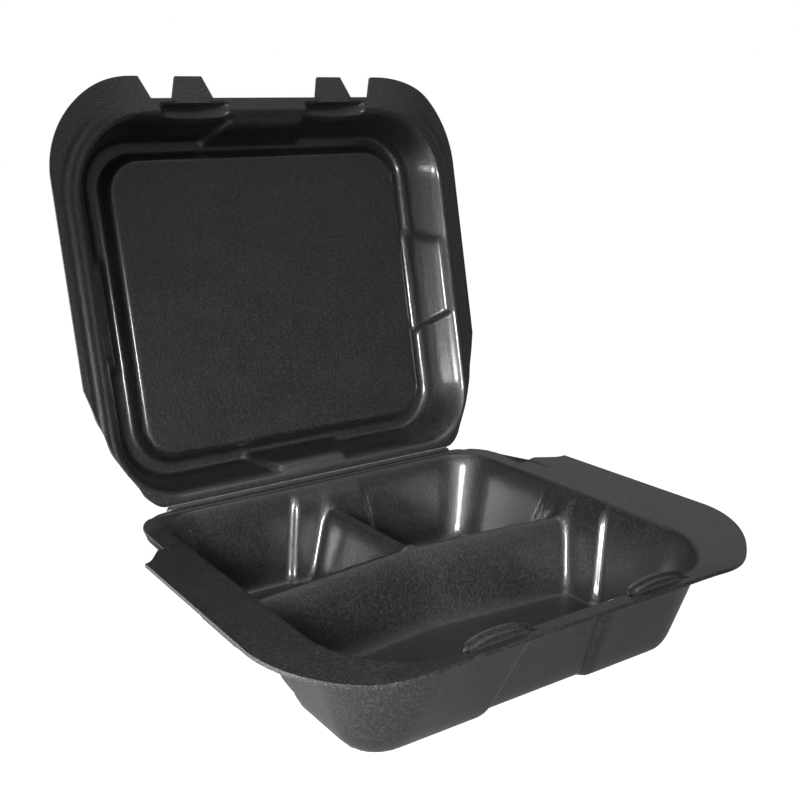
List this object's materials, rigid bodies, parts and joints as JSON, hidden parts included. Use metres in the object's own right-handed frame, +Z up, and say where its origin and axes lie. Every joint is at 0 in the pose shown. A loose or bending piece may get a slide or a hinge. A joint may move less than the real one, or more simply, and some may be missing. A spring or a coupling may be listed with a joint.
{
  "type": "hinged foam take-out container",
  "caption": "Open hinged take-out container of black foam: divided tray with side wings, lid with sunk panel and locking tabs on a pressed fold.",
  "frame": {"origin": "middle of the front compartment's base, on the table", "axes": "+Z up, X along the hinge, -Y towards the front edge"},
  "size_m": [0.22, 0.2419, 0.23],
  "materials": {
    "foam": "satin black foam"
  },
  "bodies": {
    "tray": {"base_tray": "foam"},
    "cover": {"lid": "foam"}
  },
  "joints": [
    {"name": "lid_hinge", "type": "hinge", "parent": "tray", "child": "cover", "pos_m": [0, 0.117, 0.0442], "axis": [-1, 0, 0], "range_deg": [-102, 78]}
  ]
}
